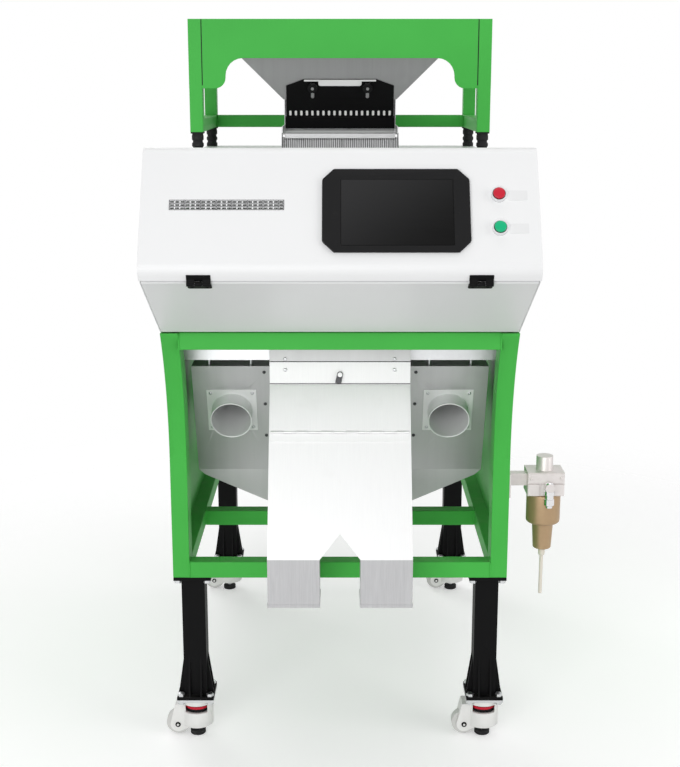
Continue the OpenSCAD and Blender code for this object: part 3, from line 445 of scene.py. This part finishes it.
def on_duct_plate(side):
    """Local X across a dust chamber's front, Y up it, Z out of it, from the middle of the duct."""
    return shift(side * DUCT_X, DUCT_Y, DUCT_Z) @ turn(90 + DUCT_TILT, "X")


def facing_front(x, y, z):
    """Local X across, Y up, Z towards the operator."""
    return shift(x, y, z) @ turn(90, "X")


def facing_rear(x, y, z):
    """Local Z towards the rear."""
    return shift(x, y, z) @ turn(-90, "X")


# Controls on the hood

BUTTON_X = 318
BUTTON_UP = {"stop": 28, "start": -45}
PLATE_GAP = 39
VENT_X, VENT_PITCH, VENT_COLUMNS = -336, 10.4, 22
VENT_LINES = (-3.5, 3.5, 10.5, 17.5)
WIRE = 1.2


def control_caps():
    """Push button caps with a crowned face, on their stems, and in each ring a black band that paints the shade of
    the gap round the cap.
    """
    crown = [(0, -14), (6, -14), (6, 8.7), (11.4, 8.7), (12, 9.3), (12, 11.8),
             (11.5, 13), (10.2, 13.6), (6, 13.9), (0, 14)]
    # painted shade: a black band just outside the cap stands in for the shadowed gap
    gap_shade = [(12.25, 8.8), (13.4, 8.8), (13.4, 9.4), (12.25, 9.4), (12.25, 8.8)]
    for name, slot in (("stop", "red_plastic"), ("start", "green_plastic")):
        place = on_face(BUTTON_X, BUTTON_UP[name])
        bm = bmesh.new()
        lathe(bm, crown, place)
        put(name + "_cap", bm, name, slot, [name + "_button"])
        bm = bmesh.new()
        lathe(bm, gap_shade, place)
        put(name + "_seal", bm, "root", "foot_rubber")


def vent_guard():
    """Thin wires over the slots of the hood's vent, in groups of three columns."""
    bm = bmesh.new()
    low = VENT_X - VENT_PITCH / 2
    high = VENT_X + (VENT_COLUMNS - 0.5) * VENT_PITCH
    group = 3 * VENT_PITCH
    for row in VENT_LINES:
        slab(bm, rounded(high - low + WIRE, WIRE, 0.4, 2), -0.2, 0.6, on_face((low + high) / 2, row))
    middle = (VENT_LINES[0] + VENT_LINES[-1]) / 2
    for x in [low + group * step for step in range(8)] + [high]:
        slab(bm, rounded(WIRE, 22, 0.4, 2), -0.2, 0.9, on_face(x, middle))
    put("vent_guard", bm, "root", "zinc", finish=LATCH_STEEL)


def label_plates():
    """Bare plates beside the buttons."""
    for name, up in BUTTON_UP.items():
        bm = bmesh.new()
        slab(bm, rounded(38, 22, 2.5), -0.2, 0.7, on_face(BUTTON_X + PLATE_GAP, up))
        put(name + "_plate", bm, "root", "door_paint", bevel=0.25)


# Door hinges

HINGE_PIN = (-905.832, 1197.35)
DOOR_TOP = Vector((-900.5, 1200))
DOOR_DOWN = (Vector((-628.5, 1048)) - DOOR_TOP).normalized()
LIP_DOWN = (Vector((-902.5, 1203)) - NOSE).normalized()
HINGE_X = 280
HEM_RUNS = ((-394, -306), (-254, 254), (306, 394))


def sheet_frame(x, start, down):
    """Local Y down a sheet in the side view, from its upper edge, and Z out of it towards the operator."""
    return Matrix(((-1, 0, 0, x),
                   (0, down.x, down.y, start.x),
                   (0, down.y, -down.x, start.y),
                   (0, 0, 0, 1)))


def door_hinges():
    """Hinge leaves on the door and on the hood's lip, the middle knuckles, and the folded hem of the door, in
    whiter paint than the door as a painted highlight along the fold.
    """
    leaf = [(-24.3, 7.7), (24.3, 7.7), (24.3, 26), (21, 28.6), (-21, 28.6), (-24.3, 26)]
    knuckle = [(0, -7.7), (4.4, -7.7), (4.9, -7.1), (4.9, 7.1), (4.4, 7.7), (0, 7.7)]
    for side, name in SIDES:
        door = sheet_frame(side * HINGE_X, DOOR_TOP, DOOR_DOWN)
        lip = sheet_frame(side * HINGE_X, NOSE, LIP_DOWN)
        bm = bmesh.new()
        slab(bm, leaf, -0.1, 2.4, door)
        for x in (-15, 15):
            lathe(bm, PAN_HEAD, door @ shift(x, 19, 2.1), 16)
        put("door_leaf_" + name, bm, "door", "black_paint", bevel=0.4)
        bm = bmesh.new()
        lathe(bm, knuckle, shift(side * HINGE_X, *HINGE_PIN) @ turn(90, "Y"), 24)
        put("door_knuckle_" + name, bm, "door", "black_paint")
        bm = bmesh.new()
        slab(bm, rounded(48.6, 14.4, 1), -0.1, 1.6, lip @ shift(0, 19.2, 0))
        put("hood_leaf_" + name, bm, "root", "black_paint", bevel=0.4)
    # painted highlight: the hem takes the hood's white paint so the fold shows as a bright line
    bm = bmesh.new()
    for left, right in HEM_RUNS:
        slab(bm, block(left, right, 1, 6), -0.1, 1.3, sheet_frame(0, DOOR_TOP, DOOR_DOWN))
    put("door_hem_highlight", bm, "door", "white_paint", bevel=0.6)


# Screws

def cover_screws():
    """Pan head screws on the duct plates, the outlet header and the rear cover."""
    bm = bmesh.new()
    for side, _ in SIDES:
        for x in (-51, 51):
            for y in (-51, 51):
                lathe(bm, PAN_HEAD, on_duct_plate(side) @ shift(x, y, 2), 18)
        for up in (930, 956):
            lathe(bm, PAN_HEAD, facing_front(side * 128, -481.7, up), 18)
        for z in (1074, 1222, 1370):
            lathe(bm, PAN_HEAD, facing_rear(side * 380, REAR_Y, z), 18)
    put("pan_head_screws", bm, "root", "zinc", ["cover_screws"])


def chamber_screws():
    """Blackened screws down the inner edge of each dust chamber."""
    bm = bmesh.new()
    for side, _ in SIDES:
        for up in (112, 18, -78):
            lathe(bm, PAN_HEAD, on_duct_plate(side) @ shift(side * -82, up, 0.2), 18)
    put("chamber_screws", bm, "root", "zinc", finish=LATCH_STEEL)


# Hopper gate and mounts

WINDOWS, WINDOW_PITCH = 19, 15.2
LIP_Y, LIP_W = 160, 302
HOPPER_FRONT_Y = 84
POST_OUT, POST_IN = 399.6, 366
POST_LOW, POST_HIGH, PANEL_LOW = 1456.4, 1747.6, 1572
MOUNT_X, MOUNT_Y, ROOF_Z = (-382.5, 382.5), (101.5, 496.5), 1400


def gate_fittings():
    """Row of pale inserts above the curtain bar, as painted light where the gate's slots show light from behind,
    and the steel tab along the top of the gate, in white paint as a painted reflection of the room.
    """
    bm = bmesh.new()
    # painted light: pale inserts put where the slots show light from behind
    for i in range(WINDOWS):
        slab(bm, rounded(6.4, 14, 2.6), 3.2, 4.0, on_hopper_wall((i - WINDOWS // 2) * WINDOW_PITCH, -38))
    put("gate_slot_light", bm, "gate", "white_nylon", bevel=0.25)
    bm = bmesh.new()
    slab(bm, rounded(196, 5, 1), 3.2, 4.4, on_hopper_wall(0, 55))
    slab(bm, rounded(118, 17, 6), 3.3, 6.2, on_hopper_wall(0, 49))
    put("gate_tab", bm, "gate", "zinc", bevel=0.5, finish=GATE_TAB_REFLECTION)


def tray_apron():
    """Folded strip under the front lip of the feeder tray, in front of the chute's upper edge."""
    bm = bmesh.new()
    slab(bm, rounded(LIP_W, 13, 1), 0.2, 1.7, facing_front(0, LIP_Y, 1443))
    slab(bm, rounded(LIP_W, 2.4, 1), 1.2, 3.2, facing_front(0, LIP_Y, 1437.8))
    put("tray_apron", bm, "tray", "steel", bevel=0.4)


def hopper_strips():
    """Front flanges of the hopper's corner posts, with a black strip beside the arched panel as painted shade of
    the gap.
    """
    front = facing_front(0, HOPPER_FRONT_Y, 0)
    bm = bmesh.new()
    for side, _ in SIDES:
        slab(bm, block(side * POST_OUT, side * POST_IN, POST_LOW, POST_HIGH), 3, 4.6, front)
        slab(bm, block(side * POST_OUT, side * POST_IN, POST_LOW, PANEL_LOW), -0.2, 3.2, front)
    put("post_flanges", bm, "root", "green_paint", bevel=0.5)
    bm = bmesh.new()
    # painted shade: a black strip stands in for the shadowed gap between panel and flange
    for side, _ in SIDES:
        slab(bm, block(side * POST_IN, side * 363.6, 1578, 1747), 2.8, 3.5, front)
    put("panel_gap_shades", bm, "root", "foot_rubber")


def rubber_mounts():
    """Ribbed rubber buffers under the hopper posts."""
    ribs = [(0, 0), (15, 0), (16, 2), (16, 9), (13.4, 12), (13.4, 16), (16, 19), (16, 26), (13.4, 29),
            (13.4, 33), (16, 36), (16, 46), (15, 49), (15, 52), (0, 52)]
    bm = bmesh.new()
    for x in MOUNT_X:
        for y in MOUNT_Y:
            lathe(bm, ribs, shift(x, y, ROOF_Z), 32)
            slab(bm, rounded(35, 35, 3), 52, 56, shift(x, y, ROOF_Z))
    put("rubber_buffers", bm, "root", "foot_rubber", ["rubber_mounts"], bevel=0.6)


# Outlet and dust chambers

OUTLET_Y, OUTLET_HALF = -480.5, 165
GAP_SHADE_Z = (949.6, 896.4)
SPOUT_EDGES = ((105.7, -682.9, 120, 1.6), (105.7, -585.1, 120, 1.6), (46.3, -634, 1.6, 96), (165.3, -634, 1.6, 96))
SPOUT_FOOT = 419


def outlet_trim():
    """Header plate across the top of the outlet, two black strips as painted shade of its seams, and folded hems
    round the two spouts.
    """
    bm = bmesh.new()
    slab(bm, block(-OUTLET_HALF, OUTLET_HALF, 951, 1003.4), 0, 1.2, facing_front(0, OUTLET_Y, 0))
    put("outlet_header", bm, "root", "outlet_steel", bevel=0.4, finish=HEADER_SHEET)
    bm = bmesh.new()
    # painted shade: black strips stand in for the shadowed seams under the header plate and above the flap
    for z in GAP_SHADE_Z:
        slab(bm, rounded(2 * OUTLET_HALF, 1.8, 0.6, 2), -0.2, 0.8, facing_front(0, OUTLET_Y, z))
    put("outlet_gap_shades", bm, "root", "foot_rubber")
    bm = bmesh.new()
    for side, _ in SIDES:
        for x, y, wide, deep in SPOUT_EDGES:
            slab(bm, rounded(wide, deep, 0.7, 2), 0, 7, shift(side * x, y, SPOUT_FOOT))
    put("spout_hems", bm, "root", "outlet_steel", bevel=0.3)


def duct_liners():
    """Spiral-wound lining of the duct collars, with a rolled lip at the mouth."""
    wound = [(48.2 - 0.5 * (i % 2), 45.5 - 6 * i) for i in range(26)]
    wound += [(49.2, wound[-1][1]), (49.2, wound[0][1]), wound[0]]
    turns = [2 * math.pi * k / 10 for k in range(11)]
    lip = [(50 + 1.5 * math.cos(t), 45 + 1.5 * math.sin(t)) for t in turns]
    for side, name in SIDES:
        bm = bmesh.new()
        lathe(bm, lip, on_duct_plate(side), 64)
        lathe(bm, wound, on_duct_plate(side), 64)
        put("duct_lining_" + name, bm, "root", "steel", finish=DUCT_SHEET)


# Air filter

FILTER = (494, -440.5, 618)
ELBOW = (500, -489, 646)
HEAD_PLATES = ((-43.5, -16, 2, 30), (-12, 43.5, 2, 30), (-43.5, 43.5, 33, 56))


def air_filter():
    """Stepped bowl with its drain nipple and tube, the elbow on the front port, and the plates of the head."""
    bm = bmesh.new()
    bowl = [(0, -141), (20, -141), (22, -139), (25.4, -79), (26, -75.5), (38, -73.5), (40.4, -71), (41, -67),
            (41, -5), (40.4, -1.5), (38.5, 0), (0, 0)]
    lathe(bm, bowl, shift(*FILTER), 64)
    put("filter_bowl", bm, "root", "bronze", ["air_filter_bowl"])
    bm = bmesh.new()
    drain = [(0, -262), (2.6, -262), (4.5, -261), (4.5, -163), (7, -161), (8, -158), (8, -148), (6.5, -146),
             (6.5, -141), (0, -141)]
    lathe(bm, drain, shift(*FILTER), 32)
    put("drain_tube", bm, "root", "white_nylon", finish=CREAM_TUBE)
    bm = bmesh.new()
    elbow = [(0, 11), (6, 10.4), (9.4, 8), (11, 3), (11, -10), (12.6, -10.6), (12.6, -19), (10.4, -19.6),
             (10.4, -30), (12.2, -30.6), (12.2, -45), (10.4, -46.4), (8, -46.4), (8, -52), (0, -52)]
    lathe(bm, elbow, shift(*ELBOW), 40)
    put("filter_elbow", bm, "root", "chrome")
    bm = bmesh.new()
    front = shift(0, -34, 0) @ shift(*FILTER) @ turn(90, "X")
    for edges in HEAD_PLATES:
        slab(bm, block(*edges), -0.5, 3.5, front)
    for x in (-36, 36):
        lathe(bm, PAN_HEAD, front @ shift(x, 45, 3.5), 18)
    put("filter_plates", bm, "root", "aluminium", bevel=1.2)


# Casters

DIAL_R, KNURL, TEETH = 30.9, 0.8, 96
DIALS = (("dial", "red_plastic", 76, 82), ("grip", "black_plastic", 69, 76))
AXLE_BACK, AXLE_OUT, AXLE_Z = 47, 23.3, 33


def caster_details():
    """For each caster: foot pad, threaded stud, knurled dial in two colours, and the caps of the axle."""
    pad = [(0, 0), (17.5, 0), (19, 1.5), (19, 4), (18, 5), (18, 6.5), (19, 7.5), (19, 10.5), (17.5, 12),
           (7, 12.6), (6, 13), (0, 13)]
    cap = [(0, 0), (6.5, 0), (6.5, 2), (5.6, 3), (2.6, 3), (2.4, 1.4), (0, 1.4)]
    rim = [(DIAL_R - KNURL * (i // 2 % 2), 2 * math.pi * i / TEETH) for i in range(TEETH)]
    stud = [(0, 12), (6, 12)] + [(5.8 if i % 2 else 5.3, 13 + i) for i in range(54)] + [(5.8, 68), (0, 68)]
    for corner, (x, y) in LEGS.items():
        bm = bmesh.new()
        lathe(bm, pad, shift(x, y, 0), 40)
        put("pad_" + corner, bm, "foot_" + corner, "foot_rubber", ["caster_foot_" + corner])
        bm = bmesh.new()
        lathe(bm, stud, shift(x, y, 0), 24)
        put("stud_" + corner, bm, "foot_" + corner, "zinc")
        for name, slot, low, high in DIALS:
            bm = bmesh.new()
            slab(bm, [(r * math.cos(t), r * math.sin(t)) for r, t in rim], low, high, shift(x, y, 0))
            put(f"{name}_{corner}", bm, "foot_" + corner, slot)
        bm = bmesh.new()
        lathe(bm, cap, facing_front(x - AXLE_BACK, y - AXLE_OUT, AXLE_Z), 24)
        lathe(bm, cap, facing_rear(x - AXLE_BACK, y + AXLE_OUT, AXLE_Z), 24)
        put("axle_caps_" + corner, bm, "caster_" + corner, "black_plastic")


# Welds and fans

RAIL_X, POST_SEAM_X, POST_SEAM_Y = 360, 365, 514
UPRIGHT_WELDS = ((-610.5, 1004, 1044), (-522.5, 428, 468), (-141.5, 428, 468), (522.5, 428, 468),
                 (522.5, 1004, 1044))
FLAT_WELDS = ((-608, -573, 1004), (-520, -485, 468), (-139, -104, 468))
FAN_X, FAN_Z, FAN_BLADES = 180, 1220, 7


def bead(bm, start, end, radius=2.2):
    """A weld run of overlapping ripples between two points."""
    start, end = Vector(start), Vector(end)
    length = (end - start).length
    place = Matrix.Translation(start) @ (end - start).to_track_quat("Z", "Y").to_matrix().to_4x4()
    count = max(4, int(length / 1.2))
    ripple = [(radius * (0.82 + 0.18 * abs(math.sin(i * 1.1))), length * i / count) for i in range(count + 1)]
    lathe(bm, [(0, 0), *ripple, (0, length)], place, 8)


def frame_welds():
    """Runs where the beams meet the posts of the frame, and the rails those of the hopper."""
    bm = bmesh.new()
    for side, _ in SIDES:
        x = side * RAIL_X
        for y, low, high in UPRIGHT_WELDS:
            bead(bm, (x, y, low + 2), (x, y, high - 2))
        for near, far, z in FLAT_WELDS:
            bead(bm, (x, near, z), (x, far, z))
        for z in (1456, 1713):
            bead(bm, (side * POST_SEAM_X, POST_SEAM_Y, z + 2), (side * POST_SEAM_X, POST_SEAM_Y, z + 33))
    put("frame_welds", bm, "root", "green_paint")


def cooling_fans():
    """Seven-bladed rotors behind the rings of the rear cover."""
    for side, name in SIDES:
        place = facing_rear(side * FAN_X, REAR_Y - 16, FAN_Z)
        bm = bmesh.new()
        lathe(bm, [(0, 10), (15, 10), (19, 8), (20, 5), (20, -14), (0, -14)], place, 40)
        put("fan_hub_" + name, bm, "root", "black_plastic")
        bm = bmesh.new()
        for i in range(FAN_BLADES):
            spin = place @ turn(i * 360 / FAN_BLADES, "Z")
            rows = []
            for r in (19, 30, 42, 54):
                sweep = math.radians(14 + (r - 19) * 0.5)
                rows.append([spin @ Vector((r * math.cos(sweep + d), r * math.sin(sweep + d), h))
                             for d, h in ((0, 6), (0.24, 1), (0.5, -8))])
            grid = [[bm.verts.new(v) for v in row] for row in rows]
            for low, high in zip(grid, grid[1:]):
                for k in range(2):
                    bm.faces.new((low[k], low[k + 1], high[k + 1], high[k]))
        blades = put("fan_blades_" + name, bm, "root", "black_plastic")
        blades.modifiers.new("blade_thickness", "SOLIDIFY").thickness = 1.6 * MM


control_caps()
label_plates()
vent_guard()
door_hinges()
cover_screws()
chamber_screws()
gate_fittings()
tray_apron()
hopper_strips()
rubber_mounts()
outlet_trim()
duct_liners()
air_filter()
caster_details()
frame_welds()
cooling_fans()


# Frame nodes keep their shape: each takes its slot's finish and a small edge radius

EDGE = {"green_paint": 2.0, "white_paint": 0.8, "door_paint": 0.8, "black_paint": 1.2, "black_plastic": 1.5,
        "zinc": 0.5, "steel": 0.5, "white_nylon": 1.5, "wheel_nylon": 1.5, "aluminium": 1.0, "grey_paint": 1.0,
        "outlet_steel": 0.6, "chrome": 0.8, "black_steel": 0.6}
OWN_EDGE = {"hopper_front_panel": 0.5, "screen_bezel": 2.5}
MERGE = 0.02


def dress(name):
    """Gives a frame node its finish and rounds its edges."""
    piece = nodes[name]
    slot = slot_of[name]
    finish = OWN_FINISH.get(name, FINISHES[slot])
    for place in range(len(piece.data.materials)):
        piece.data.materials[place] = finish
    if slot in EDGE:
        weld = piece.modifiers.new("joined_faces", "WELD")
        weld.merge_threshold = MERGE * MM
        round_edges(piece, OWN_EDGE.get(name, EDGE[slot]))


for name in nodes:
    dress(name)


# Floor, light and camera

WHITE_RAYS = ("Is Camera Ray", "Is Glossy Ray", "Is Transmission Ray")
FLOOR_GLOW = 0.3
ROOM_LIGHT = 0.4
SOFTBOXES = {"front": ((-1.2, -4.6, 1.7), 3.0, 92), "right": ((3.4, -2.2, 2.0), 2.4, 40),
             "top": ((0.3, -0.2, 4.6), 3.2, 34), "back": ((-2.2, 3.6, 2.8), 2.6, 50)}
AIM = Vector((0, -0.2, 0.85))
FADE_START, FADE_END = 1.1, 2.6
FLOOR_SIZE = 30
FOCAL_PX, HEIGHT_PX, SENSOR = 1300, 767, 36
EYE, PITCH = (0, -3.4542, 1.588), 76.92


def white_to(tree):
    """1 for the rays that should meet a white room, 0 for those that carry light."""
    camera, glossy, through = (tree.node("ShaderNodeLightPath", out=kind) for kind in WHITE_RAYS)
    return camera.math("MAXIMUM", glossy).math("MAXIMUM", through)


def stage():
    """A pale floor that keeps the shadow and fades into a white room away from the machine."""
    floor = Finish("pale_floor")
    x, y, z = floor.along(floor.spot)
    away = (x * x + y * y).math("SQRT")
    tone = floor.noise(400, 3)
    colour = floor.mix(tone, (0.88, 0.88, 0.88), (0.91, 0.91, 0.91))
    glow = floor.mix(white_to(floor), (0, 0, 0), (FLOOR_GLOW, FLOOR_GLOW, FLOOR_GLOW))
    floor.surface(Base_Color=colour, Roughness=0.8, Specular_IOR_Level=0.1,
                  Alpha=1 - away.between(FADE_START, FADE_END), Emission_Color=glow, Emission_Strength=1.0)
    bm = bmesh.new()
    bmesh.ops.create_grid(bm, x_segments=1, y_segments=1, size=FLOOR_SIZE)
    mesh = bpy.data.meshes.new("floor")
    bm.to_mesh(mesh)
    bm.free()
    mesh.materials.append(floor.material)
    plane = bpy.data.objects.new("floor", mesh)
    bpy.context.scene.collection.objects.link(plane)

    world = bpy.data.worlds.new("white_room")
    bpy.context.scene.world = world
    world.use_nodes = True
    room = Tree(world.node_tree)
    backdrop = room.tree.nodes["Background"]
    room.fill(backdrop.inputs["Color"], (1, 1, 1))
    room.fill(backdrop.inputs["Strength"], white_to(room) * (1 - ROOM_LIGHT) + ROOM_LIGHT)


def softboxes():
    """Square area lamps that face the machine."""
    for name, (place, size, power) in SOFTBOXES.items():
        lamp = bpy.data.lights.new(name + "_softbox", "AREA")
        lamp.shape, lamp.size, lamp.energy = "SQUARE", size, power
        light = bpy.data.objects.new(name + "_softbox", lamp)
        light.location = place
        light.rotation_euler = (AIM - Vector(place)).to_track_quat("-Z", "Y").to_euler()
        bpy.context.scene.collection.objects.link(light)


def camera():
    """The photograph's view: its height and the focal length are in pixels of the photograph."""
    lens = bpy.data.cameras.new("view")
    lens.sensor_fit = "VERTICAL"
    lens.sensor_height = SENSOR
    lens.lens = FOCAL_PX / HEIGHT_PX * SENSOR
    view = bpy.data.objects.new("view", lens)
    view.location = EYE
    view.rotation_euler = (math.radians(PITCH), 0, 0)
    bpy.context.scene.collection.objects.link(view)
    bpy.context.scene.camera = view


stage()
softboxes()
camera()
bpy.context.scene.view_settings.view_transform = "Standard"
